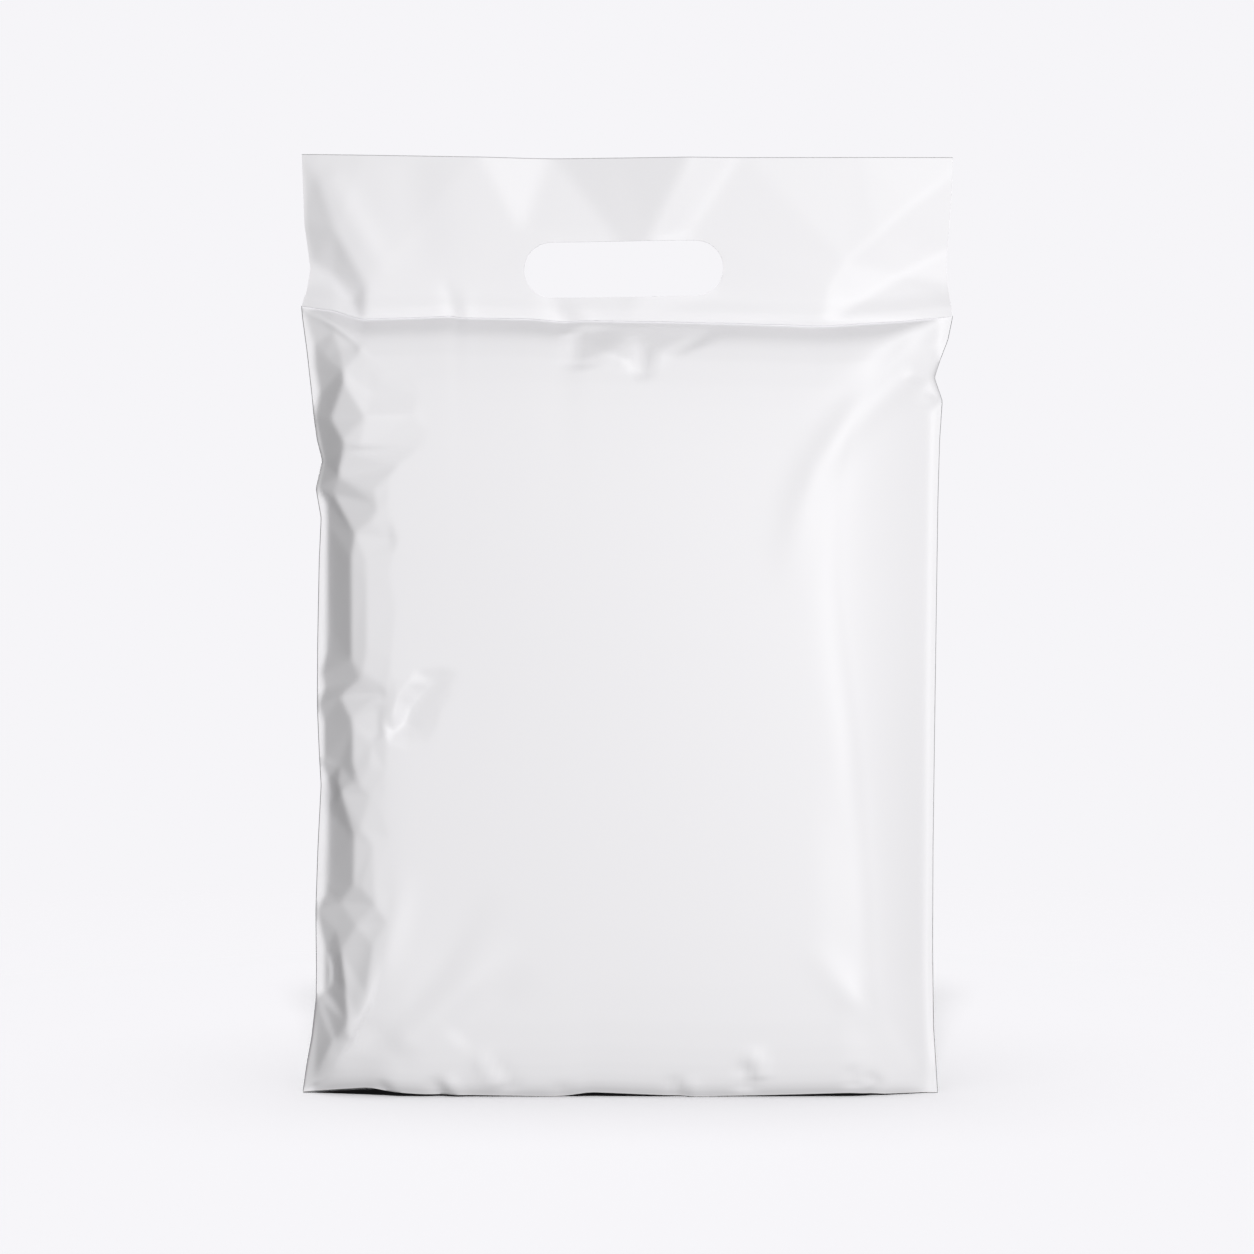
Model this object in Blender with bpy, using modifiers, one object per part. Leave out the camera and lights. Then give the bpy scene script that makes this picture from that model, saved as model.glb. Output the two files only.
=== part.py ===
"""A sealed poly mailer bag with a die-cut carry handle, standing on its flattened bottom fold.

The real bag is one sheet of film. It is folded up at the bottom, welded along both sides and
filled. Its back runs on above the pouch, folds over at the top and comes down the front again,
where a glue line holds it over the pouch's lip. The handle slot is punched through both plies.
Metres, +Z up, the front faces -Y, the origin is on the floor under the middle of the bag.
"""

import math

import bmesh
import bpy

# Driving dimensions of the bag.
BAG_WIDTH = 0.310
BAG_HEIGHT = 0.450
FILL_THICKNESS = 0.047
FLAP_EDGE_HEIGHT = 0.372
FLAP_LAP = 0.0075
FLAP_TUCK = 0.001

# The pouch's outline: it is drawn in where the filling rounds it out.
NECK_HALF_WIDTH = 0.1480
FOOT_HALF_WIDTH = 0.1545
NECK_REACH_TOP = 0.022
NECK_REACH_FOOT = 0.030

# The foot: the bottom fold, spread flat on the floor by the filling.
FOOT_HALF_DEPTH = 0.0120
FOOT_TAPER = 0.048
FOOT_TIP_DEPTH = 0.0008
FOOT_RADIUS = 0.003

# The slopes from the edges up to the front: depth gained for each metre inwards.
SIDE_SLOPE = 1.15
SHOULDER_SLOPE = 1.15
FOOT_SLOPE = 0.75
EDGE_BLEND = 0.0035
CROWN = 0.0045

# The side welds: a flat strip of film outside the weld.
WELD_WIDTH = 0.0035
WELD_HALF_THICKNESS = 0.0003

# The header: the back ply, the folded flap and the air between them.
PLY = 0.0004
HEADER_THICKNESS = 0.0014
FOLD_ROUNDING = 0.00066
LIP_HALF_THICKNESS = 0.0005

# The handle slot.
HANDLE_LENGTH = 0.095
HANDLE_HEIGHT = 0.027
HANDLE_CENTRE_HEIGHT = 0.395
HANDLE_SEGMENTS = 48

# Cutting tools reach this far past the film, and edges that turn more than this stay sharp.
TOOL_REACH = 0.015
SHARP_ANGLE = math.radians(40)

COLUMNS = 36
ROWS = 38

FILM_COLOUR = (0.86, 0.86, 0.87, 1.0)
FILM_ROUGHNESS = 0.42


def smooth_step(value, start, end):
    """0 before start, 1 after end, with a smooth rise between them."""
    share = min(max((value - start) / (end - start), 0.0), 1.0)
    return share * share * (3 - 2 * share)


def soft_minimum(values, blend):
    """The smallest of the values, rounded off where two of them cross."""
    lowest = min(values)
    total = sum(math.exp((lowest - value) / blend) for value in values)
    return lowest - blend * math.log(total)


def half_width(height):
    """Half the pouch's width: full at the flap, drawn in by the filling, wide again at the foot."""
    top = BAG_WIDTH / 2 - NECK_HALF_WIDTH
    foot = FOOT_HALF_WIDTH - NECK_HALF_WIDTH
    from_flap = max(FLAP_EDGE_HEIGHT - height, 0.0)
    return (
        NECK_HALF_WIDTH
        + top * math.exp(-((from_flap / NECK_REACH_TOP) ** 2))
        + foot * math.exp(-height / NECK_REACH_FOOT)
    )


def foot_half_depth(from_side):
    """How far the foot spreads on the floor, that far in from the bag's side."""
    rise = smooth_step(from_side, 0.0, FOOT_TAPER)
    return FOOT_TIP_DEPTH + (FOOT_HALF_DEPTH - FOOT_TIP_DEPTH) * rise


def fill_depth(across, height):
    """Half the bag's thickness at a place on its front, as the lowest of five slopes."""
    from_side = half_width(height) - abs(across)
    side = WELD_HALF_THICKNESS + max(from_side - WELD_WIDTH, 0.0) * SIDE_SLOPE
    foot = foot_half_depth(from_side) + FOOT_RADIUS + height * FOOT_SLOPE
    shoulder = max(FLAP_EDGE_HEIGHT - height, 0.0) * SHOULDER_SLOPE + LIP_HALF_THICKNESS
    off_centre = (across / NECK_HALF_WIDTH) ** 2
    off_middle = (2 * height / FLAP_EDGE_HEIGHT - 1) ** 2
    front = FILL_THICKNESS / 2 - CROWN * (off_centre + off_middle) / 2
    depth = soft_minimum((side, foot, shoulder, front), EDGE_BLEND)
    return max(depth, WELD_HALF_THICKNESS)


def across_share(index):
    """A column's place from -1 to 1, closer together towards the sides."""
    return -math.cos(math.pi * index / COLUMNS)


def row_heights():
    """The heights of the rows from the foot's rounding up, closer together at both ends."""
    top = FLAP_EDGE_HEIGHT + FLAP_TUCK
    count = ROWS - 3
    shares = [(1 - math.cos(math.pi * i / count)) / 2 for i in range(count + 1)]
    return [FOOT_RADIUS + (top - FOOT_RADIUS) * share for share in shares]


def pouch_point(column, row, heights):
    """The place of one grid point: from the bottom fold out over the floor and up the front."""
    share = across_share(column)
    if row == 0:
        return share * half_width(0), 0.0, 0.0
    if row == ROWS:
        # The lip's own edge is hidden between the header's plies.
        return share * (BAG_WIDTH / 2 - WELD_WIDTH), 0.0, FLAP_EDGE_HEIGHT + FLAP_LAP
    if row == 1:
        height = 0.0
        across = share * half_width(0)
        depth = foot_half_depth(half_width(0) - abs(across))
    else:
        height = heights[row - 2]
        across = share * (half_width(height) - max(height - FLAP_EDGE_HEIGHT, 0.0))
        depth = fill_depth(across, height)
    on_edge = column in (0, COLUMNS)
    return across, 0.0 if on_edge else -depth, height


def film_material():
    """White polyethylene film with a satin face."""
    material = bpy.data.materials.new("white_film")
    material.use_nodes = True
    shader = material.node_tree.nodes["Principled BSDF"]
    shader.inputs["Base Color"].default_value = FILM_COLOUR
    shader.inputs["Roughness"].default_value = FILM_ROUGHNESS
    shader.inputs["Metallic"].default_value = 0.0
    return material


def new_object(name, mesh_data, collection):
    """An object around the bmesh, in its collection."""
    mesh = bpy.data.meshes.new(name)
    mesh_data.to_mesh(mesh)
    mesh_data.free()
    made = bpy.data.objects.new(name, mesh)
    collection.objects.link(made)
    return made


def make_pouch(collection):
    """The filled pouch: a grid for the front half, mirrored to the back along the welds and the fold."""
    half = bmesh.new()
    bmesh.ops.create_grid(half, x_segments=COLUMNS, y_segments=ROWS, size=1.0)
    heights = row_heights()
    for vertex in half.verts:
        column = round((vertex.co.x + 1) / 2 * COLUMNS)
        row = round((vertex.co.y + 1) / 2 * ROWS)
        vertex.co = pouch_point(column, row, heights)
    bmesh.ops.recalc_face_normals(half, faces=half.faces)
    front_face = max(half.faces, key=lambda face: -face.calc_center_median().y)
    if front_face.normal.y > 0:
        bmesh.ops.reverse_faces(half, faces=half.faces)
    pouch = new_object("mailer_bag", half, collection)
    mirror = pouch.modifiers.new("front_to_back", "MIRROR")
    mirror.use_axis = (False, True, False)
    mirror.use_clip = False
    mirror.merge_threshold = 0.00001
    return pouch


def make_header(collection):
    """The two plies above the pouch, as a flat block with its top fold rounded."""
    block = bmesh.new()
    bmesh.ops.create_cube(block, size=1.0)
    height = BAG_HEIGHT - FLAP_EDGE_HEIGHT
    bmesh.ops.scale(block, verts=block.verts, vec=(BAG_WIDTH, HEADER_THICKNESS, height))
    middle = (BAG_HEIGHT + FLAP_EDGE_HEIGHT) / 2
    bmesh.ops.translate(block, verts=block.verts, vec=(0, 0, middle))
    fold = [
        edge
        for edge in block.edges
        if all(vertex.co.z > middle for vertex in edge.verts)
        and abs(edge.verts[0].co.y - edge.verts[1].co.y) < HEADER_THICKNESS / 2
    ]
    bmesh.ops.bevel(block, geom=fold, offset=FOLD_ROUNDING, segments=3, profile=0.5, affect="EDGES")
    return new_object("header_plies", block, collection)


def make_air_gap(collection):
    """The thin space between the flap and the back ply, open at both sides of the bag."""
    gap = bmesh.new()
    bmesh.ops.create_cube(gap, size=1.0)
    bottom = FLAP_EDGE_HEIGHT + FLAP_LAP + FLAP_TUCK
    top = BAG_HEIGHT - 2 * PLY
    size = (BAG_WIDTH + 2 * TOOL_REACH, HEADER_THICKNESS - 2 * PLY, top - bottom)
    bmesh.ops.scale(gap, verts=gap.verts, vec=size)
    bmesh.ops.translate(gap, verts=gap.verts, vec=(0, 0, (top + bottom) / 2))
    return new_object("air_gap_cutter", gap, collection)


def make_handle_punch(collection):
    """The punch for the handle slot: a round bar pulled apart at its middle into a long slot."""
    punch = bmesh.new()
    bmesh.ops.create_cone(
        punch,
        cap_ends=True,
        segments=HANDLE_SEGMENTS,
        radius1=HANDLE_HEIGHT / 2,
        radius2=HANDLE_HEIGHT / 2,
        depth=2 * TOOL_REACH,
    )
    half_step = math.pi / HANDLE_SEGMENTS
    stretch = (HANDLE_LENGTH - HANDLE_HEIGHT) / 2
    for vertex in punch.verts:
        x, y, z = vertex.co
        turned_x = x * math.cos(half_step) - y * math.sin(half_step)
        turned_y = x * math.sin(half_step) + y * math.cos(half_step)
        turned_x += stretch if turned_x > 0 else -stretch
        vertex.co = (turned_x, -z, turned_y + HANDLE_CENTRE_HEIGHT)
    bmesh.ops.recalc_face_normals(punch, faces=punch.faces)
    return new_object("handle_punch", punch, collection)


def as_helper(helper):
    """Marks an object as a tool that shapes the bag and is no part of it."""
    helper.hide_render = True
    helper.display_type = "WIRE"
    return helper


def add_boolean(target, tool, operation):
    """Joins the tool to the target or cuts it away, as a live modifier."""
    modifier = target.modifiers.new(tool.name, "BOOLEAN")
    modifier.operation = operation
    modifier.solver = "EXACT"
    modifier.object = tool


def build():
    for old in list(bpy.data.objects):
        bpy.data.objects.remove(old)
    parts = bpy.data.collections.new("poly_mailer_bag")
    tools = bpy.data.collections.new("cutters")
    for collection in (parts, tools):
        bpy.context.scene.collection.children.link(collection)
    bag = make_pouch(parts)
    add_boolean(bag, as_helper(make_header(tools)), "UNION")
    add_boolean(bag, as_helper(make_air_gap(tools)), "DIFFERENCE")
    add_boolean(bag, as_helper(make_handle_punch(tools)), "DIFFERENCE")
    shading = bag.modifiers.new("shading", "WEIGHTED_NORMAL")
    shading.keep_sharp = True
    bag.data.materials.append(film_material())
    bag.data.shade_smooth()
    bag.data.set_sharp_from_angle(angle=SHARP_ANGLE)


build()
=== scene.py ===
# %% [markdown]
# # A filled poly mailer bag
#
# The real bag is one sheet of white polyethylene film. It is folded up at the bottom, welded along
# both sides, filled with something soft, and closed by a flap that comes over from the back and is
# glued down across the front. A hand hole is punched through the flap and the back together.
#
# Film does not stretch, so it can't round out like a balloon: it stays smooth over the filling and
# breaks into flat facets and creases wherever it has to turn, along the welds, under the flap and
# at the foot. This script draws those facets as a map of creases, lays it over a smooth pillow and
# wraps the result round both sides of the bag.

# %% The frame, and the box it gives
import math

import bmesh
import bpy
import numpy as np
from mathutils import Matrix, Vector
from mathutils.geometry import delaunay_2d_cdt


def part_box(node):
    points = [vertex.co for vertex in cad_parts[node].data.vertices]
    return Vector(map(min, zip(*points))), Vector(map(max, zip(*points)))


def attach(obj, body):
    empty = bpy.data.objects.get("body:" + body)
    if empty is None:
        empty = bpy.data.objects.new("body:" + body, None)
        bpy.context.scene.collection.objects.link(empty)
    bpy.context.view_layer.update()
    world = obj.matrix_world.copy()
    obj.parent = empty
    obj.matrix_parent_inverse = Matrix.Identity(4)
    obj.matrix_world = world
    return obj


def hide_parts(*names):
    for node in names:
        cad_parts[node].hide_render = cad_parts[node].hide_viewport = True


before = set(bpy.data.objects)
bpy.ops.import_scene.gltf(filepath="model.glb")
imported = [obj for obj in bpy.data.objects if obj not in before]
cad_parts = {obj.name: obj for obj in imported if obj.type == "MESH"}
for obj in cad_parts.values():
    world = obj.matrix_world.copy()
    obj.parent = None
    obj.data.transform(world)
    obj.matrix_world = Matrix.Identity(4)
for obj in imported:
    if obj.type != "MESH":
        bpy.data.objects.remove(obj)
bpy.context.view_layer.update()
low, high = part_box("mailer_bag")
MM = 0.001
HALF_WIDTH = (high[0] - low[0]) / 2 / MM
TOP = high[2] / MM
HALF_FILL = (high[1] - low[1]) / 2 / MM
print(f"bag: {2 * HALF_WIDTH:.0f} wide, {2 * HALF_FILL:.0f} thick, {TOP:.0f} tall, in millimetres")

# %% [markdown]
# ## Small tools for shaping a surface
#
# The film's form is worked out on a fine sheet of numbers: for each place across the bag and each
# height, how far the film stands forward of the bag's middle plane. Numpy handles the whole sheet
# at once, so a smooth blend or a soft corner is one line. Lengths are in millimetres until the mesh
# is made.

# %% Blends
def smooth_step(value, start, end):
    """0 before start, 1 after end, with a smooth rise between them."""
    share = np.clip((value - start) / (end - start), 0.0, 1.0)
    return share * share * (3 - 2 * share)


def soft_lowest(blend, *layers):
    """The lowest of the layers, rounded off where two of them cross."""
    lowest = np.minimum.reduce(layers)
    total = sum(np.exp((lowest - layer) / blend) for layer in layers)
    return lowest - blend * np.log(total)


def through(points, value):
    """Straight lines through the points (value, result)."""
    return np.interp(value, [point[0] for point in points], [point[1] for point in points])


def rounded_through(points, value, reach):
    """The same with the corners rounded over the reach on both sides."""
    shifts = np.linspace(-1, 1, 7)
    weights = np.cos(shifts * math.pi / 2 * 0.95)
    total = sum(w * through(points, value + s * reach) for s, w in zip(shifts, weights))
    return total / weights.sum()


# %% The fine sheet
PITCH = 0.5
MARGIN = 10.0
across_line = np.arange(-HALF_WIDTH - MARGIN, HALF_WIDTH + MARGIN + PITCH, PITCH)
height_line = np.arange(-MARGIN, TOP + MARGIN + PITCH, PITCH)
ACROSS, HEIGHT = np.meshgrid(across_line, height_line)
print("sheet of", ACROSS.shape, "places")


def soften(field, reach):
    """Rounds every crease of the field over about the reach, in millimetres."""
    spread = reach / PITCH
    count = int(math.ceil(spread * 3))
    weights = np.exp(-0.5 * (np.arange(-count, count + 1) / spread) ** 2)
    weights /= weights.sum()
    padded = np.pad(field, count, mode="edge")
    rows, columns = field.shape
    along = sum(w * padded[:, i:i + columns] for i, w in enumerate(weights))
    return sum(w * along[i:i + rows, :] for i, w in enumerate(weights))


def read(field, across, height):
    """The field's value at any place, between its nearest four."""
    column = np.clip((across - across_line[0]) / PITCH, 0, len(across_line) - 1.001)
    row = np.clip((height - height_line[0]) / PITCH, 0, len(height_line) - 1.001)
    left, down = column.astype(int), row.astype(int)
    u, v = column - left, row - down
    lower = field[down, left] * (1 - u) + field[down, left + 1] * u
    upper = field[down + 1, left] * (1 - u) + field[down + 1, left + 1] * u
    return lower * (1 - v) + upper * v


# %% [markdown]
# ## The outline
#
# Seen from the front, the flat bag would be a plain rectangle. The filling draws its sides in, the
# welds buckle into small notches, and the two bottom corners and the two ends of the flap stay out
# at the full width. The outline is two lists of places by height, and two more by place across: the
# flap's edge, which sags a little, and the foot, where the fold lifts off the floor in shallow arches.

# %% Left and right outline, flap edge, foot and top
LEFT_SIDE = [
    (0, -156.0), (14, -154.0), (27, -151.6), (46, -149.4), (60, -149.2), (88, -149.4), (118, -148.3),
    (149, -146.6), (161, -147.3), (187, -148.3), (218, -148.0), (257, -147.1), (277, -146.1),
    (291, -148.5), (304.5, -145.4), (314, -147.8), (325, -149.4), (333, -150.0), (357, -152.6),
    (372, -154.6), (378, -155.2), (386, -153.0), (396, -151.6), (417, -154.2), (450, -155.0),
]
RIGHT_SIDE = [
    (0, 149.5), (32, 147.4), (70, 146.8), (118, 146.8), (190, 147.5), (238, 148.0), (285, 148.5),
    (314, 149.2), (333, 150.4), (344, 146.6), (352.5, 149.4), (362, 153.0), (373, 155.2),
    (386, 153.5), (396, 152.6), (405, 153.0), (429, 154.7), (450, 155.2),
]
FLAP_EDGE = [
    (-156, 378.2), (-150, 377.4), (-140, 376.0), (-130, 372.8), (-126, 371.8), (-118, 372.2), (-100, 372.6),
    (-84, 373.4), (-80, 372.6), (-45, 372.0), (-30, 370.6), (-20, 371.2), (20, 370.6), (60, 369.6), (90, 368.6),
    (97, 368.8), (110, 369.6), (130, 370.8), (150, 372.6), (156, 373.4),
]
FOOT_LIFT = [
    (-156, 0.6), (-123, 4.2), (-115, 2.4), (-100, 1.2), (-42, 0.2), (-30, 0.2), (-18, 2.2), (15, 0.8),
    (35, 0.1), (70, 0.8), (107, 1.8), (125, 0.6), (150, 0.3),
]
TOP_DIP = [(-155, 0.0), (-40, 2.0), (40, 1.8), (155, 1.6)]
OUTLINE_ROUNDING = 1.6


def left_side(height):
    return rounded_through(LEFT_SIDE, height, OUTLINE_ROUNDING)


def right_side(height):
    return rounded_through(RIGHT_SIDE, height, OUTLINE_ROUNDING)


def flap_edge(across):
    return rounded_through(FLAP_EDGE, across, 1.5)


def foot_lift(across):
    return rounded_through(FOOT_LIFT, across, 5.0)


def top_fold(across):
    return TOP - rounded_through(TOP_DIP, across, 12.0)


LEFT, RIGHT, FLAP = left_side(HEIGHT), right_side(HEIGHT), flap_edge(ACROSS)
print(f"narrowest: {(RIGHT - LEFT).min():.1f} mm")

# %% [markdown]
# ## The pillow
#
# Under the creases the filled pouch is a simple form: a nearly flat front, and a slope down to each
# edge. Each slope is a layer of its own, and the film takes the lowest of them all. The soft
# rounding where two layers cross is the turn of the film round the filling.

# %% The layers of the pillow
WELD_WIDTH = 4.0
WELD_DEPTH = 0.5
FOOT_DEPTH = 11.0
CORNER_REACH = 46.0
BAND_STEEPNESS = 1.25
BAND_DROP = [
    (-155, 1.5), (-126, 2.2), (-113, 5.5), (-60, 7.4), (-30, 7.2), (0, 8.0), (40, 8.0), (56, 6.8), (91, 6.4),
    (115, 4.4), (147, 1.6), (155, 1.5),
]
SHOULDER_FRONT = [
    (-3, 2.0), (0, 2.6), (3, 4.6), (7, 8.6), (9, 10.2), (12, 11.6), (18, 13.6), (30, 16.2), (40, 17.8), (60, 20.4),
    (100, 23.4), (150, 26.5),
]
SHOULDER_BACK = [
    (-3, 0.1), (0, 0.2), (6, 3.0), (14, 7.0), (26, 11.6), (44, 16.6), (66, 20.2), (100, 23.4), (150, 26.5),
]
FOOT_RISE = [
    (0, 0), (1, 1.2), (3, 2.8), (6, 4.4), (10, 5.6), (16, 6.9), (24, 8.2), (36, 9.6), (55, 11.0), (80, 12.2),
    (120, 13.5), (200, 16),
]
RIGHT_SLOPE_REACH = [
    (0, 16), (20, 20), (60, 25), (90, 26), (130, 29), (175, 33), (215, 39), (250, 43), (290, 43), (320, 38),
    (340, 28), (352, 20), (366, 10), (374, 5),
]
RIGHT_SLOPE_RISE = [
    (0, 8), (20, 12), (60, 15.5), (90, 16), (130, 17), (175, 18), (215, 18.5), (250, 19), (290, 19), (320, 17),
    (340, 13), (352, 9), (366, 4), (374, 1.6),
]
CALM_RIGHT = [(0, 149.5), (60, 147.0), (190, 147.5), (285, 148.5), (333, 149.4), (360, 152.0), (374, 155.0), (450, 155.0)]


def flat_front():
    """The front face: a very slight crown, highest in the middle of the bag."""
    crown = 2.6 * (ACROSS / 150) ** 2 + 1.6 * ((HEIGHT - 175) / 190) ** 2
    return HALF_FILL - crown


def shoulder(profile):
    """The slope up to the flap's edge."""
    return through(profile, FLAP - HEIGHT)


def band():
    """The steep band of film just under the flap, where the glue line holds it down."""
    return np.maximum(FLAP - HEIGHT, 0) * BAND_STEEPNESS + 0.1


def foot():
    """The slope down to the foot, which is deep in the middle and comes to a point at the corners."""
    from_side = np.minimum(ACROSS - LEFT, RIGHT - ACROSS)
    spread = 0.8 + (FOOT_DEPTH - 0.8) * smooth_step(from_side, 0, CORNER_REACH)
    return spread + through(FOOT_RISE, HEIGHT - foot_lift(ACROSS))


def side_slope(from_edge, steepness):
    """An even slope that starts at the weld."""
    return WELD_DEPTH + np.maximum(from_edge - WELD_WIDTH, 0) * steepness


def right_slope():
    """The broad slope at the right, which rounds over slowly into the front."""
    from_weld = np.maximum(rounded_through(CALM_RIGHT, HEIGHT, 10.0) - ACROSS - WELD_WIDTH, 0)
    share = from_weld / rounded_through(RIGHT_SLOPE_REACH, HEIGHT, 12.0)
    rise = rounded_through(RIGHT_SLOPE_RISE, HEIGHT, 12.0)
    return WELD_DEPTH + rise * share * (1.3 - 0.3 * np.minimum(share, 1.0))


front_pillow = soft_lowest(
    1.6, flat_front(), shoulder(SHOULDER_FRONT), foot(), side_slope(ACROSS - LEFT, 1.15), right_slope()
)
front_pillow = np.maximum(np.minimum(front_pillow, band()), WELD_DEPTH)
back_pillow = soft_lowest(
    2.4, flat_front(), shoulder(SHOULDER_BACK), foot(),
    side_slope(ACROSS - LEFT, 1.05), side_slope(RIGHT - ACROSS, 1.05),
)
back_pillow = np.maximum(back_pillow, WELD_DEPTH)
print(f"pillow: {front_pillow.max():.1f} mm forward, {back_pillow.max():.1f} mm back")

# %% [markdown]
# ## The crease map
#
# Where film is crushed it is flat between its creases, like folded paper. So the crushed stretches
# are drawn as lines of points, each with its place across, its height and how far forward it stands.
# A constrained Delaunay triangulation joins all the points of a map without crossing a line, and the
# film is flat on each triangle. Softening the result a little gives each crease the small radius
# that film has. A point with no depth of its own lies on the pillow.

# %% Laying a crease map over a form
def with_depths(lines, form):
    """The lines with every open depth read off the form."""
    def settle(x, z, depth):
        if depth is None:
            depth = float(read(form, np.array([float(x)]), np.array([float(z)]))[0])
        return x, z, depth

    return [[settle(*point) for point in line] for line in lines]


def lay_creases(lines, form):
    """The form, replaced inside the map by flat triangles between the creases."""
    places, depths, edges, found = [], [], [], {}
    for line in with_depths(lines, form):
        numbers = []
        for x, z, depth in line:
            if (x, z) not in found:
                found[(x, z)] = len(places)
                places.append(Vector((x, z)))
                depths.append(depth)
            numbers.append(found[(x, z)])
        edges += list(zip(numbers, numbers[1:]))
    corners, _, faces, sources, _, _ = delaunay_2d_cdt(places, edges, [], 1, 0.001)
    laid = form.copy()
    for face in faces:
        if not all(sources[corner] for corner in face):
            raise ValueError(f"creases cross near {tuple(corners[face[0]])}")
        fill_triangle(laid, [(*corners[i], depths[sources[i][0]]) for i in face])
    return laid


def fill_triangle(field, triangle):
    """Writes one flat triangle into the field."""
    (ax, az, a), (bx, bz, b), (cx, cz, c) = triangle
    columns = slice(*np.searchsorted(across_line, [min(ax, bx, cx), max(ax, bx, cx) + PITCH]))
    rows = slice(*np.searchsorted(height_line, [min(az, bz, cz), max(az, bz, cz) + PITCH]))
    x, z = ACROSS[rows, columns], HEIGHT[rows, columns]
    area = (bx - ax) * (cz - az) - (cx - ax) * (bz - az)
    if abs(area) < 1e-9:
        return
    u = ((x - ax) * (cz - az) - (cx - ax) * (z - az)) / area
    v = ((bx - ax) * (z - az) - (x - ax) * (bz - az)) / area
    inside = (u >= 0) & (v >= 0) & (u + v <= 1)
    part = field[rows, columns]
    part[inside] = (a + u * (b - a) + v * (c - a))[inside]


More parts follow.
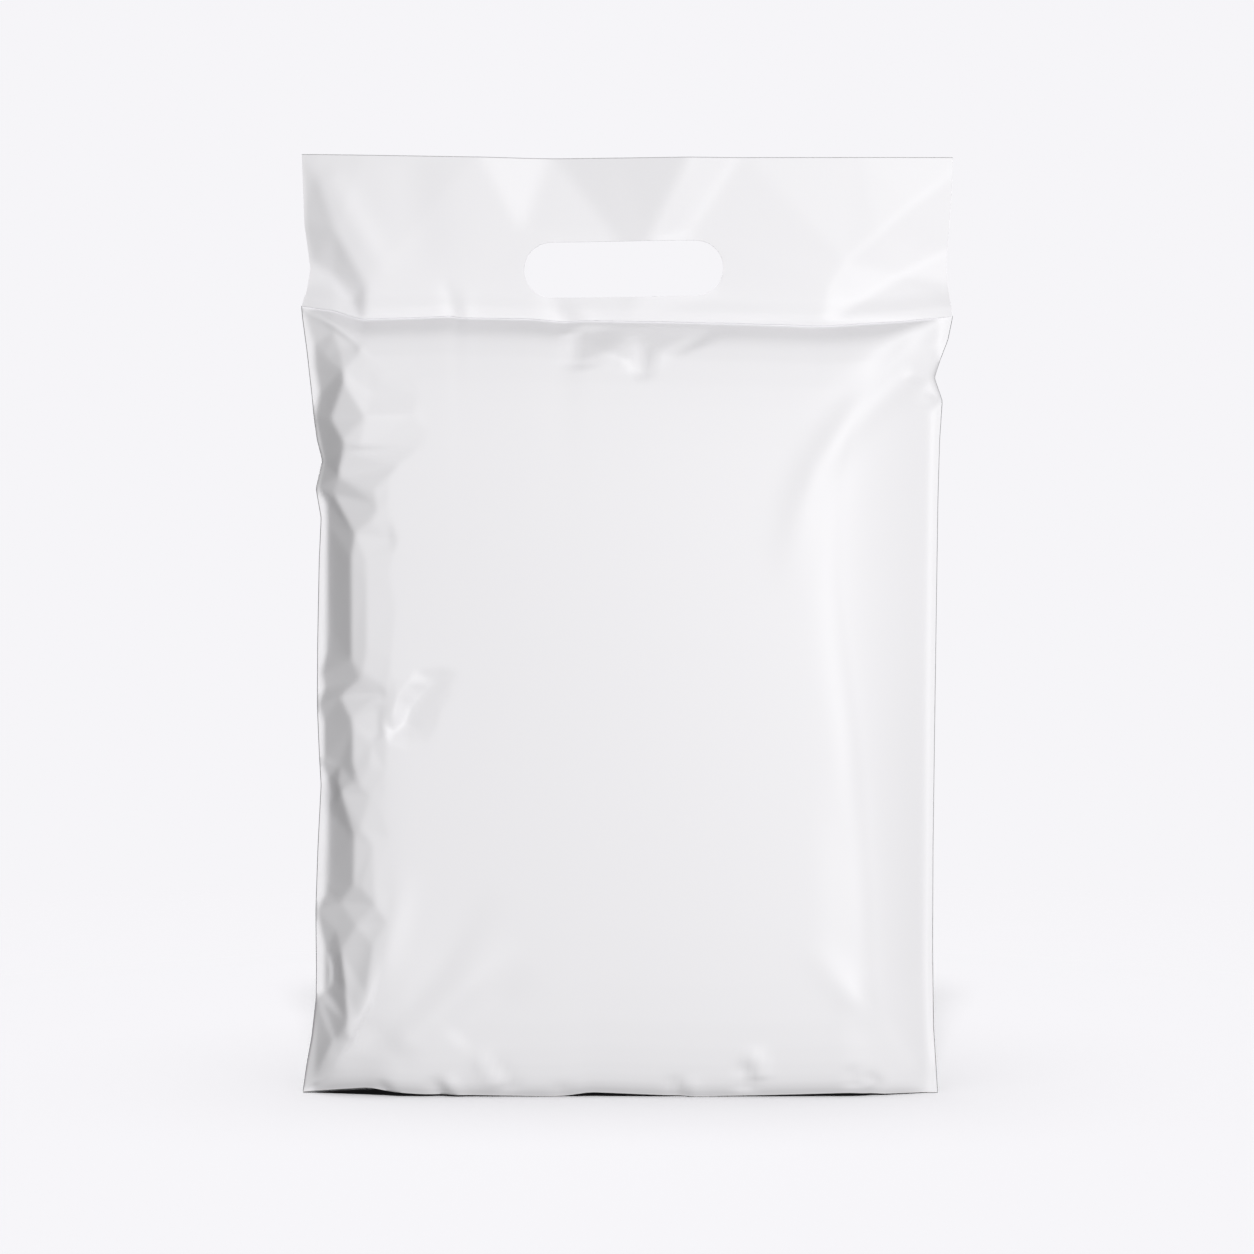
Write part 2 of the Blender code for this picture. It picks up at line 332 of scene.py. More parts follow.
# %% The crushed left side of the front
LEFT_CREASES = [
    # The weld line, from the flap down to the corner.
    [(-155.2, 378, 0.6), (-152.7, 372, 0.6), (-149, 360, 0.8), (-148.8, 350, 0.8), (-146.4, 337, 1.0),
     (-149.4, 325.4, 0.2), (-145.4, 304.5, 0.2), (-148.3, 291.3, 0.2), (-142.8, 284.7, 1.6), (-142.8, 274, 1.2),
     (-142.8, 224, 1.2), (-143.3, 213, 1.4), (-146.3, 203, 0.6), (-144.5, 196, 1.0), (-148.1, 187.4, 0.3),
     (-145, 180, 1.0), (-145, 163, 1.0), (-146.5, 160, 0.5), (-143, 152, 1.0), (-141.4, 145, 2.0),
     (-142.6, 136, 1.2), (-143.6, 104, 1.2), (-144.2, 97, 1.2), (-149.4, 88.4, 0.2), (-144.2, 70, 1.4),
     (-142, 62, 1.8), (-142, 55, 1.8), (-144.5, 49.2, 1.6), (-149.8, 46.5, 0.3), (-156, 1.5, 0.4)],
    # The ridge between the side and the front, which runs in and out.
    [(-155.2, 378, 0.6), (-140, 366, 6.5), (-131, 360, 10.2), (-128, 354, 13.4), (-134.6, 347.5, 13.6),
     (-134.2, 342, 14.8), (-140.8, 324.5, 10.4), (-134.5, 314, 16.0), (-134.5, 309.5, 14.6), (-137, 300, 12.4),
     (-136.8, 297, 12.2), (-118.5, 284, 19.8), (-118.5, 280.5, 20.2), (-129, 269.5, 17.4), (-131, 258, 16.8),
     (-131, 210, 16.2), (-125.5, 204, 19.2), (-127, 200.5, 17.8), (-136.7, 192, 11.5), (-131, 181.5, 16.2),
     (-130.5, 178, 16.6), (-130.5, 160, 16.4), (-128.8, 155, 17.6), (-131, 151.5, 15.4), (-136.7, 146.5, 12.6),
     (-130, 125, 16.6), (-130.5, 102, 16.0), (-137, 93.5, 10.0), (-119.5, 93.2, 20.8), (-129, 83, 16.0),
     (-139.5, 79.5, 7.4), (-137, 70, 11.0), (-134.5, 52, 14.6), (-133.4, 37, 17.2), (-133.6, 32, 16.4),
     (-139, 28, 12.0), (-144, 14.3, 7.6), (-150, 8, 3.6), (-156, 1.5, 0.4)],
    # Creases on the side wall itself.
    [(-149, 360, 0.8), (-143, 353.5, 6.2), (-134.6, 347.5, 13.6)],
    [(-148.3, 291.3, 0.2), (-136.8, 297, 12.2)],
    [(-148.3, 291.3, 0.2), (-140, 288, 7.2), (-142.8, 284.7, 1.6)],
    [(-118.5, 284, 19.8), (-140, 288, 7.2), (-129, 269.5, 17.4)],
    [(-146.5, 160, 0.5), (-137, 158.8, 8.6), (-130.5, 160, 16.4)],
    [(-137, 158.8, 8.6), (-138.5, 151, 9.0), (-131, 151.5, 15.4)],
    [(-143, 152, 1.0), (-138.5, 151, 9.0)],
    [(-144.2, 97, 1.2), (-137, 93.5, 10.0), (-149.4, 88.4, 0.2)],
    [(-137, 93.5, 10.0), (-139.5, 79.5, 7.4)],
    [(-144.5, 49.2, 1.6), (-146.8, 46, 3.2), (-139, 28, 12.0)],
    [(-149.8, 46.5, 0.3), (-148.8, 43.5, 2.4), (-141, 27, 11.2), (-139, 28, 12.0)],
    [(-141, 27, 11.2), (-144, 14.3, 7.6)],
    # Creases that start at the ridge and die out on the front.
    [(-128, 354, 13.4), (-122.5, 348.5, 14.4), (-117, 343, 15.4)],
    [(-140, 366, 6.5), (-136.5, 357, 9.8), (-134.6, 347.5, 13.6)],
    [(-136.5, 357, 9.8), (-128, 354, 13.4)],
    [(-134.6, 347.5, 13.6), (-121, 336, 15.2), (-117, 343, 15.4)],
    [(-121, 336, 15.2), (-123.9, 325.2, 18.8), (-134.2, 342, 14.8)],
    [(-140.8, 324.5, 10.4), (-123.9, 325.2, 18.8), (-134.5, 314, 16.0)],
    [(-121, 336, 15.2), (-101, 326, 18.6), (-123.9, 325.2, 18.8)],
    [(-134.5, 314, 16.0), (-127, 311, 17.6), (-94.4, 319, None)],
    [(-134.5, 309.5, 14.6), (-98, 311, None)],
    [(-137, 300, 12.4), (-113, 301.5, 18.8), (-108, 303, None)],
    [(-136.8, 297, 12.2), (-112.5, 297.5, None)],
    [(-136.8, 297, 12.2), (-120, 290.5, 19.6), (-113, 291, None)],
    [(-120, 290.5, 19.6), (-118.5, 284, 19.8)],
    [(-129, 269.5, 17.4), (-121.5, 275, 19.8), (-112, 276, None)],
    [(-129, 269.5, 17.4), (-113, 267.5, 19.8), (-108.6, 267, None)],
    [(-129, 269.5, 17.4), (-124, 258, 19.6), (-123.5, 248, 20.0), (-123.5, 215, 20.0), (-125.5, 204, 19.2)],
    [(-127, 200.5, 17.8), (-119, 200, 20.4), (-113.5, 196, None)],
    [(-136.7, 192, 11.5), (-117.5, 193.6, 19.4), (-113.5, 196, None)],
    [(-136.7, 192, 11.5), (-128, 184.5, 17.0), (-121, 189.8, 19.4), (-113, 190.5, None)],
    [(-131, 181.5, 16.2), (-118.5, 185.5, 19.0), (-113, 190.5, None)],
    [(-118.5, 185.5, 19.0), (-118, 175, 19.2), (-121.5, 170.5, 19.4), (-130.5, 178, 16.6)],
    [(-121.5, 170.5, 19.4), (-122.5, 160, 20.0), (-128.8, 155, 17.6)],
    [(-136.7, 146.5, 12.6), (-127, 150, 18.2), (-122, 145.5, 19.8), (-118.9, 141.5, None)],
    [(-131, 151.5, 15.4), (-127, 150, 18.2)],
    [(-118.9, 141.5, None), (-127, 130, 18.6), (-130, 125, 16.6)],
    [(-127, 130, 18.6), (-121, 122, 20.2), (-120.5, 103, 20.4), (-119.5, 93.2, 20.8)],
    [(-130.5, 102, 16.0), (-126.5, 101.5, 18.2), (-119.5, 93.2, 20.8)],
    [(-129, 83, 16.0), (-121, 74, 19.5), (-124, 50, 18.6), (-128, 38, 17.8), (-133.4, 37, 17.2)],
    # Where the crushed side ends and the smooth front begins.
    [(-155.2, 378, 0.6), (-139, 369, 8.4), (-126, 359, 13.0), (-113, 347, None), (-104, 345.5, None),
     (-99, 335, None), (-97, 327, None), (-94.4, 319, None), (-98, 311, None), (-108, 303, None),
     (-112.5, 297.5, None), (-113, 291, None), (-113.5, 284, None), (-112, 276, None), (-108.6, 267, None),
     (-111, 260.5, None), (-113, 250, None), (-110, 236, None), (-112, 212, None), (-113.5, 196, None),
     (-113, 190.5, None), (-114, 175, None), (-115, 157, None), (-115, 147, None), (-118.9, 141.5, None),
     (-113, 125, None), (-113, 100, None), (-114, 85, None), (-117, 66, None), (-122, 46, 18.8),
     (-131, 28, 15.4), (-140, 13, 9.0), (-148, 6, 4.6), (-156, 1.5, 0.4)],
]

# %% The long dent beside the crushed side
DENT_CREASES = [
    [(-112, 203, None), (-100, 205.5, None), (-88, 207, None), (-80, 204, None), (-79.5, 199, None),
     (-84, 192, None), (-88.5, 186, None), (-91, 177, None), (-96, 170, None), (-105, 168, None),
     (-113, 171, None), (-116, 180, None), (-114, 192, None), (-112, 203, None)],
    # The bottom of the dent, the swelling to its left, and the turn halfway up its right slope.
    [(-86, 202.5, 21.6), (-92, 199, 20.4), (-98, 193.5, 19.4), (-103, 187, 18.8), (-105, 181, 18.8), (-110, 176, 19.8)],
    [(-104, 199, 22.6), (-109, 192, 22.5), (-111, 184, 22.0)],
    [(-84, 199, 22.3), (-90, 192.5, 21.5), (-95, 184.5, 21.1), (-98, 176, 21.2), (-104, 172, 21.2)],
]

# %% The creases under the middle of the flap, and the notch in the right weld
FLAP_CREASES = [
    [(-30, 363.5, None), (-31, 350, None), (-25.1, 346.5, None), (-12, 350, None), (2, 346, None), (6, 341, None),
     (12, 345, None), (21, 353.5, None), (40, 360.5, None), (40, 367.5, None), (0, 368, None), (-27, 368.5, None),
     (-30, 363.5, None)],
    [(-28.2, 364.5, 9.2), (-24.5, 364.2, 5.6), (-25.1, 350.7, 12.0), (-30.0, 352, None)],
    [(-24.5, 364.2, 5.6), (-10.3, 355.7, 14.6), (-25.1, 350.7, 12.0)],
    [(-10.3, 355.7, 14.6), (2, 361.5, 9.0), (6, 360, 8.0), (6, 345.6, 13.4), (1, 352, 14.8), (-10.3, 355.7, 14.6)],
    [(6, 360, 8.0), (15.3, 356, 13.6), (6, 345.6, 13.4)],
]
NOTCH_CREASES = [
    [(151, 331, 0.3), (147, 329, None), (138, 331, None), (131, 343, None), (131, 352, None), (138, 360, None),
     (147, 360, None), (153, 361, 0.3), (149.2, 351.5, 0.3), (147.4, 343.8, 0.3), (150.4, 334, 0.3), (151, 331, 0.3)],
    [(135.4, 345.8, 7.6), (145.0, 343.9, 3.6), (148.6, 335.5, 2.6), (139.5, 337, None), (135.4, 345.8, 7.6)],
    [(145.0, 343.9, 3.6), (146.8, 351, 2.4), (147, 360, None)],
]

front_form = front_pillow
for crease_map in (LEFT_CREASES, DENT_CREASES, FLAP_CREASES, NOTCH_CREASES):
    front_form = lay_creases(crease_map, front_form)
print(f"crease map: {sum(len(line) for line in LEFT_CREASES)} points on {len(LEFT_CREASES)} lines")

# %% [markdown]
# ## Long soft folds
#
# Tension runs through film in straight lines from its fixed corners, and raises long low folds. Each
# one is a rounded ridge or valley along a line: its rise, its half width and its points.

# %% Ridges and valleys along lines
FRONT_FOLDS = [
    # From the top right corner down across the front.
    (1.3, 8.0, [(146, 356), (131, 343), (113, 329), (100, 315), (90, 301), (83, 284), (78, 262), (75, 235)]),
    (-0.6, 8.0, [(142, 366), (128, 354), (112, 342), (98, 330), (84, 316)]),
    # From the bottom left corner up.
    (2.0, 7.0, [(-150, 4), (-137, 22), (-127, 42), (-117, 66), (-110, 90), (-104, 118)]),
    (-1.3, 8.0, [(-128, 20), (-110, 40), (-92, 62), (-74, 86), (-60, 104)]),
    (1.2, 8.0, [(-112, 20), (-90, 42), (-70, 62), (-52, 80)]),
    (-0.8, 9.0, [(-84, 26), (-64, 46), (-44, 66)]),
    # From the bottom right corner up.
    (1.2, 8.0, [(147, 4), (134, 22), (120, 40), (100, 60), (80, 78)]),
    (-1.0, 9.0, [(108, 45), (105, 82), (104, 130), (106, 165)]),
    # Short puckers along the foot.
    (-1.2, 3.0, [(-112, -3), (-116, 4), (-122, 8.5)]),
    (-1.6, 4.0, [(-86, -4), (-90, 4), (-94, 12)]),
    (1.2, 4.0, [(-80, -4), (-84, 5), (-90, 12)]),
    (1.2, 5.0, [(-60, 4), (-66, 14), (-73, 26)]),
    (-1.0, 4.0, [(-54, 2), (-60, 12), (-68, 24)]),
    (-1.0, 3.0, [(-28, -3), (-31, 4), (-35, 9)]),
    (-1.5, 3.5, [(26, -3), (24, 5), (21, 13)]),
    (1.0, 3.5, [(32, -3), (30, 5), (27, 12)]),
    (-1.6, 3.5, [(56, 2), (58, 10), (54, 20)]),
    (1.4, 4.0, [(63, 8), (62, 16), (58, 27)]),
    (-1.4, 3.0, [(116, -2), (120, 6), (113, 14)]),
    (-0.8, 4.0, [(108, 4), (108, 10), (105, 17)]),
]


def nearest_on_line(line):
    """For every place of the sheet: its distance from the line, and how far along it, from 0 to 1."""
    lengths = [math.dist(a, b) for a, b in zip(line, line[1:])]
    nearest = np.full(ACROSS.shape, np.inf)
    along = np.zeros_like(ACROSS)
    run = 0.0
    for (ax, az), (bx, bz), length in zip(line, line[1:], lengths):
        share = ((ACROSS - ax) * (bx - ax) + (HEIGHT - az) * (bz - az)) / length**2
        share = np.clip(share, 0, 1)
        gap = np.hypot(ACROSS - ax - share * (bx - ax), HEIGHT - az - share * (bz - az))
        closer = gap < nearest
        nearest = np.where(closer, gap, nearest)
        along = np.where(closer, run + share * length, along)
        run += length
    return nearest, along / run


def raise_folds(folds):
    """The sum of all the folds, each fading in at its start and dying out along its second half."""
    total = np.zeros_like(ACROSS)
    for rise, half_width, line in folds:
        gap, along = nearest_on_line(line)
        strength = smooth_step(along, 0, 0.15) * (1 - smooth_step(along, 0.55, 1))
        total += rise * strength * np.exp(-((gap / half_width) ** 2))
    return total


front_form = soften(front_form + raise_folds(FRONT_FOLDS), 0.8)
front_form = np.maximum(np.minimum(front_form, band()), WELD_DEPTH)
print(f"{len(FRONT_FOLDS)} folds on the front")

# %% [markdown]
# ## The back
#
# The back has no flap line, and its two sides are crushed in the same way. Its left side shares the
# weld's notches with the front, so it takes the front's own creases. Its right side takes them
# turned end for end, which no longer reads as the same pattern.

# %% The back's creases and folds
BACK_FOLDS = [
    (1.8, 9.0, [(-146, 362), (-128, 344), (-108, 318), (-92, 284), (-84, 250)]),
    (1.6, 9.0, [(146, 362), (126, 340), (104, 312), (84, 276)]),
    (-1.0, 10.0, [(60, 352), (52, 320), (40, 280)]),
    (1.8, 8.0, [(-150, 5), (-132, 26), (-112, 54), (-96, 90)]),
    (1.8, 8.0, [(146, 5), (128, 30), (106, 60), (90, 96)]),
    (-1.1, 9.0, [(-30, 12), (-20, 50), (-6, 92)]),
    (1.0, 8.0, [(34, 10), (30, 44), (18, 82)]),
]


def turned(lines, top):
    """A crease map turned end for end, for the other side."""
    return [[(-x, top - z, depth) for x, z, depth in line] for line in lines]


back_form = lay_creases(LEFT_CREASES, back_pillow)
back_form = lay_creases(turned(LEFT_CREASES, 374.0), back_form)
back_form = np.minimum(back_form, back_pillow + 3.0)
back_form = soften(back_form + raise_folds(BACK_FOLDS), 1.4)
print(f"{len(BACK_FOLDS)} folds on the back")

# %% [markdown]
# ## The header
#
# Above the pouch there are only two plies of film, so the header sways: both its ends bend back, it
# dips above the hand hole, and the glue line pulls it into short puckers. The same kind of crease map
# gives how far its middle plane stands forward.

# %% The header's sway
HEADER_CREASES = [
    # Along the flap's edge, then along the top fold.
    [(-157, 378.5, -1.0), (-139, 375.5, -0.5), (-125.5, 371.5, 1.5), (-82, 372.5, 0.4), (-29.9, 370.7, 0.2),
     (0, 370.5, 0.8), (93.2, 368.6, 2.0), (125, 370.5, 0.8), (157, 373.5, -0.5)],
    [(-158, 452, -3.0), (-147, 452, -1.2), (-125, 452, 0.6), (-70, 452, 2.0), (-37, 452, -5.0), (-6, 452, 0.6), (31.5, 452, 8.0),
     (54, 452, 2.0), (110, 452, 1.2), (158, 452, -1.0)],
    # The left end bends back, along a curved trough.
    [(-157, 378.5, -1.0), (-156, 387, -6.0), (-156, 397, -9.5), (-157, 420, -7.5), (-157, 440, -4.0), (-158, 452, -3.0)],
    [(-125.5, 371.5, 1.5), (-124.5, 388, 1.6), (-139, 414, 0.8), (-148, 440, -1.0), (-147, 452, -1.2)],
    [(-156, 397, -9.5), (-150, 398, -8.8), (-140.5, 392, -6.6), (-131, 381, -3.6), (-127.5, 372.5, 0.0), (-125.5, 371.5, 1.5)],
    # The right end bends back below a wedge that catches the light.
    [(93.2, 368.6, 2.0), (97, 388, 2.4), (104, 399, 2.4), (120, 413, 2.1), (135, 426, 1.2), (150, 437, -0.4), (158, 443, -1.2),
     (158, 452, -1.0)],
    [(93.2, 368.6, 2.0), (110, 380, -0.4), (130, 392.5, -3.4), (148, 402, -5.8), (158, 406, -7.2)],
    [(157, 373.5, -0.5), (157, 388, -5.0), (158, 406, -7.2), (158, 443, -1.2)],
    # The dip above the hand hole.
    [(-37, 452, -5.0), (-4, 409, 0.2), (-38, 382, 0.2), (-29.9, 370.7, 0.2)],
    [(31.5, 452, 8.0), (10, 409, 2.4), (44, 384, 0.6), (93.2, 368.6, 2.0)],
    [(54, 452, 2.0), (30, 414, 0.4), (44, 384, 0.6)],
    [(-70, 452, 2.0), (-50, 414, 0.8), (-38, 382, 0.2), (-82, 372.5, 0.4)],
]
HEADER_FOLDS = [
    (-0.7, 3.0, [(-81, 364), (-82.5, 374), (-85, 384), (-88, 394)]),
    (0.5, 3.5, [(-75, 364), (-77, 376), (-78, 388)]),
    (-1.0, 4.0, [(-24, 362), (-29, 371), (-35, 378), (-42, 386)]),
    (0.6, 4.0, [(-18, 362), (-22, 374), (-30, 384)]),
    (1.0, 7.0, [(-146, 446), (-134, 424), (-120, 400), (-114, 384)]),
    (-0.6, 12.0, [(-104, 452), (-100, 430), (-98, 400), (-100, 385)]),
]
sway = lay_creases(HEADER_CREASES, np.zeros_like(ACROSS)) + raise_folds(HEADER_FOLDS)
sway = soften(sway, 1.5)
sway_at_flap = read(sway, ACROSS, FLAP)
HOLD_REACH = 12.0
held_sway = sway_at_flap * np.exp(-np.maximum(FLAP - HEIGHT, 0) / HOLD_REACH)
front_form = front_form + held_sway
back_form = back_form - held_sway
print(f"header: sways from {sway.min():.1f} to {sway.max():.1f} mm")

# %% [markdown]
# ## The mesh
#
# Front and back are two grids of the same size. Their rows follow the foot, the flap's edge and the
# top fold, and their columns are closest where the film is most crushed. One strip closes them along
# each side, one over the top fold and one under the foot, so the bag is one closed skin.

# %% Rows and columns
HEADER_HALF = 0.7
FLAP_HALF = 1.5


def spaced(stretches):
    """Shares from 0 to 1 over stretches of (length, step)."""
    places = [0.0]
    for length, step in stretches:
        count = max(1, round(length / step))
        places += [places[-1] + length / count * (i + 1) for i in range(count)]
    return np.array(places) / places[-1]


column_share = spaced([(47, 0.95), (34, 1.6), (150, 3.4), (65, 1.8)])
pouch_share = spaced([(20, 1.0), (320, 1.5), (24, 1.1), (8, 0.7)])
header_share = spaced([(6, 0.8), (72, 1.7)])
rows, columns = len(pouch_share) + len(header_share), len(column_share)
print(f"grid: {rows} rows by {columns} columns")


# %% Where each grid point lies
def grid_places():
    """Place across and height of every grid point, rows from the foot to the top fold."""
    across = np.tile(column_share * 2 * HALF_WIDTH - HALF_WIDTH, (rows, 1))
    height = np.zeros_like(across)
    for _ in range(4):
        pouch = foot_lift(across) + (flap_edge(across) - foot_lift(across)) * pouch_share[:, None][
            np.minimum(np.arange(rows), len(pouch_share) - 1)
        ]
        header_row = np.maximum(np.arange(rows) - len(pouch_share), 0)
        header = flap_edge(across) + (top_fold(across) - flap_edge(across)) * header_share[header_row][:, None]
        in_header = (np.arange(rows) >= len(pouch_share))[:, None]
        height = np.where(in_header, header, pouch)
        left, right = left_side(height), right_side(height)
        across = left + (right - left) * column_share
    return across, height, in_header


grid_across, grid_height, in_header = grid_places()
ply = np.where(grid_height - flap_edge(grid_across) < 10, FLAP_HALF, HEADER_HALF)
ply = HEADER_HALF + (FLAP_HALF - HEADER_HALF) * (1 - smooth_step(grid_height - flap_edge(grid_across), 4, 12))
grid_sway = read(sway, grid_across, grid_height)
front_depth = np.where(in_header, grid_sway + ply, read(front_form, grid_across, grid_height))
back_depth = np.where(in_header, HEADER_HALF - grid_sway, read(back_form, grid_across, grid_height))
print(f"front reaches {front_depth.max():.1f} mm, back {back_depth.max():.1f} mm")

# %% [markdown]
# ## The hand hole
#
# The punch leaves a long slot with round ends. Grid cells with their middle inside the slot are left
# out, and the points round the gap are drawn onto the slot's true outline. Between the two plies the
# cut edge is a small groove, so both cut edges can be seen. The groove takes the same dark grey as the
# side edges, and that grey is painted shade.

# %% The slot
HOLE_CENTRE = (-1.6, 395.6)
HOLE_HALF_LENGTH = 47.5
HOLE_HALF_HEIGHT = 13.2
HOLE_TURN = math.radians(0.9)
GROOVE = 1.2
WELD_LIP = 0.35


def slot_frame(across, height):
    """Places seen from the slot's own middle and direction."""
    x, z = across - HOLE_CENTRE[0], height - HOLE_CENTRE[1]
    cos, sin = math.cos(HOLE_TURN), math.sin(HOLE_TURN)
    return x * cos + z * sin, z * cos - x * sin


def beyond_slot(across, height):
    """Distance outside the slot's outline, negative inside."""
    x, z = slot_frame(across, height)
    straight = HOLE_HALF_LENGTH - HOLE_HALF_HEIGHT
    return np.hypot(np.maximum(np.abs(x) - straight, 0), z) - HOLE_HALF_HEIGHT


def to_slot(across, height, beyond=0.0):
    """The nearest place on the slot's outline, or that far beyond it."""
    x, z = slot_frame(across, height)
    straight = HOLE_HALF_LENGTH - HOLE_HALF_HEIGHT
    middle = np.clip(x, -straight, straight)
    reach = np.hypot(x - middle, z)
    x = middle + (x - middle) / reach * (HOLE_HALF_HEIGHT + beyond)
    z = z / reach * (HOLE_HALF_HEIGHT + beyond)
    cos, sin = math.cos(HOLE_TURN), math.sin(HOLE_TURN)
    return x * cos - z * sin + HOLE_CENTRE[0], z * cos + x * sin + HOLE_CENTRE[1]


def cell_middles(field):
    return (field[:-1, :-1] + field[1:, :-1] + field[:-1, 1:] + field[1:, 1:]) / 4


cut_away = beyond_slot(cell_middles(grid_across), cell_middles(grid_height)) < 0
print(f"{cut_away.sum()} cells punched out")

# %% Points and faces of the closed skin
def rim_points(across, height, sway_there):
    """Points on the middle plane, in metres."""
    return np.stack([across * MM, -sway_there * MM, height * MM], axis=-1)


def on_slot_rim():
    """True for grid points with both a kept and a punched cell beside them."""
    around = np.pad(cut_away, 1, constant_values=False)
    punched = np.zeros((rows, columns), dtype=int)
    for down in (0, 1):
        for left in (0, 1):
            punched += around[down:down + rows, left:left + columns]
    return (punched > 0) & (punched < 4)


rim = on_slot_rim()
snapped_across, snapped_height = to_slot(grid_across[rim], grid_height[rim])
grid_across[rim], grid_height[rim] = snapped_across, snapped_height

front_points = np.stack([grid_across * MM, -front_depth * MM, grid_height * MM], axis=-1)
back_points = np.stack([grid_across * MM, back_depth * MM, grid_height * MM], axis=-1)
front_number = np.arange(rows * columns).reshape(rows, columns)
back_number = front_number + rows * columns
points = [front_points.reshape(-1, 3), back_points.reshape(-1, 3)]
skin_faces, edge_faces = [], []


def add_points(new):
    """Adds points and returns their numbers."""
    start = sum(len(group) for group in points)
    points.append(new.reshape(-1, 3))
    return np.arange(start, start + len(points[-1]))


def strip(first, second, kind):
    """Faces between two lines of points."""
    kind += list(zip(first[:-1], first[1:], second[1:], second[:-1]))


for row in range(rows - 1):
    for column in range(columns - 1):
        if cut_away[row, column]:
            continue
        corners = ((row, column), (row, column + 1), (row + 1, column + 1), (row + 1, column))
        skin_faces.append([front_number[c] for c in corners])
        skin_faces.append([back_number[c] for c in reversed(corners)])

# %% Closing strips: the two sides, the top fold, the foot and the slot
side_numbers = {}
# The side strips take slot 1, whose dark grey is painted shade. Below the header they stand out by the weld lip, so the
# painted dark line along the outline is wide enough to show.
for column, inwards in ((0, 1), (columns - 1, -1)):
    middle = (front_points[:, column] + back_points[:, column]) / 2
    inset = np.where(in_header[:, 0], GROOVE, -WELD_LIP) * MM
    middle[:, 0] += inwards * inset
    side_numbers[column] = add_points(middle)
    strip(front_number[:, column], side_numbers[column], edge_faces)
    strip(side_numbers[column], back_number[:, column], edge_faces)

top_middle = (front_points[-1] + back_points[-1]) / 2
top_middle[:, 2] += 0.35 * MM
top_numbers = add_points(top_middle)
strip(front_number[-1], top_numbers, skin_faces)
strip(top_numbers, back_number[-1], skin_faces)
foot_middle = (front_points[0] + back_points[0]) / 2
foot_middle[:, 1] = 0
foot_middle[:, 2] = np.maximum(front_points[0, :, 2] - 0.3 * MM, 0.1 * MM)
foot_numbers = add_points(foot_middle)
strip(front_number[0], foot_numbers, skin_faces)
strip(foot_numbers, back_number[0], skin_faces)
for row, line in ((-1, top_numbers), (0, foot_numbers)):
    for column, end in ((0, 0), (columns - 1, -1)):
        sides = side_numbers[column]
        edge_faces.append([front_number[row, column], sides[row], back_number[row, column], line[end]])

groove_across, groove_height = to_slot(grid_across[rim], grid_height[rim], GROOVE)
groove_numbers = np.full((rows, columns), -1)
groove_numbers[rim] = add_points(rim_points(groove_across, groove_height, grid_sway[rim]))
padded_cut = np.pad(cut_away, 1, constant_values=False)
for row in range(rows):
    for column in range(columns):
        sides = []
        if column + 1 < columns and padded_cut[row, column + 1] != padded_cut[row + 1, column + 1]:
            sides.append((row, column + 1))
        if row + 1 < rows and padded_cut[row + 1, column] != padded_cut[row + 1, column + 1]:
            sides.append((row + 1, column))
        for other in sides:
            pair = ((row, column), other)
            strip([front_number[p] for p in pair], [groove_numbers[p] for p in pair], edge_faces)
            strip([groove_numbers[p] for p in pair], [back_number[p] for p in pair], edge_faces)
print(f"{len(skin_faces)} faces of film, {len(edge_faces)} of cut edge")


# %% One closed mesh
def make_bag():
    """The mesh object, with film in slot 0 and the cut edges in slot 1, whose dark grey is painted shade."""
    mesh = bpy.data.meshes.new("mailer_bag_film")
    all_faces = [[int(n) for n in face] for face in skin_faces + edge_faces]
    mesh.from_pydata([tuple(p) for p in np.concatenate(points)], [], all_faces)
    mesh.polygons.foreach_set("material_index", [0] * len(skin_faces) + [1] * len(edge_faces))
    work = bmesh.new()
    work.from_mesh(mesh)
    loose = [vertex for vertex in work.verts if not vertex.link_faces]
    bmesh.ops.delete(work, geom=loose, context="VERTS")
    bmesh.ops.recalc_face_normals(work, faces=work.faces)
    if work.calc_volume(signed=True) < 0:
        bmesh.ops.reverse_faces(work, faces=work.faces)
    open_edges = [edge for edge in work.edges if len(edge.link_faces) != 2]
    print(f"volume {work.calc_volume() * 1e6:.0f} cm3, {len(open_edges)} open edges")
    work.to_mesh(mesh)
    work.free()
    mesh.shade_smooth()
    mesh.set_sharp_from_angle(angle=math.radians(50))
    bag = bpy.data.objects.new("mailer_bag_film", mesh)
    bpy.context.scene.collection.objects.link(bag)
    return bag


bag = make_bag()
triangles = sum(len(polygon.vertices) - 2 for polygon in bag.data.polygons)
print(f"bag: {triangles} triangles")

# %% [markdown]
# ## Film
#
# Opaque white polyethylene has a satin face: a soft broad gloss over a bright white body. Close up the
# real film also carries the faint vertical lines of the film blowing line and a very fine crinkle, which
# this material leaves out.

# %% The satin film
FILM_COLOUR = (0.80, 0.792, 0.812, 1.0)
# The cut edges' dark grey is painted shade: it draws the thin dark shadow line along the bag's outline and round the
# hand hole.
EDGE_SHADE_COLOUR = (0.42, 0.42, 0.43, 1.0)
FILM_GLOSS = 0.3


def new_material(name, colour, roughness):
    material = bpy.data.materials.new(name)
    material.use_nodes = True
    shader = material.node_tree.nodes["Principled BSDF"]
    shader.inputs["Base Color"].default_value = colour
    shader.inputs["Roughness"].default_value = roughness
    shader.inputs["Specular IOR Level"].default_value = FILM_GLOSS
    return material, shader


film, film_shader = new_material("satin_white_film", FILM_COLOUR, 0.43)
# The edge material is painted shade, a dark grey for the thin shadow line at the outline and the hole.
edge, edge_shade_shader = new_material("cut_edge_painted_shade", EDGE_SHADE_COLOUR, 0.5)
bag.data.materials.append(film)
bag.data.materials.append(edge)
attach(bag, "root")
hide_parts("mailer_bag")

# %% [markdown]
# ## Floor, light and camera

# %% The backdrop's colour
BACKDROP = (0.921, 0.913, 0.939)


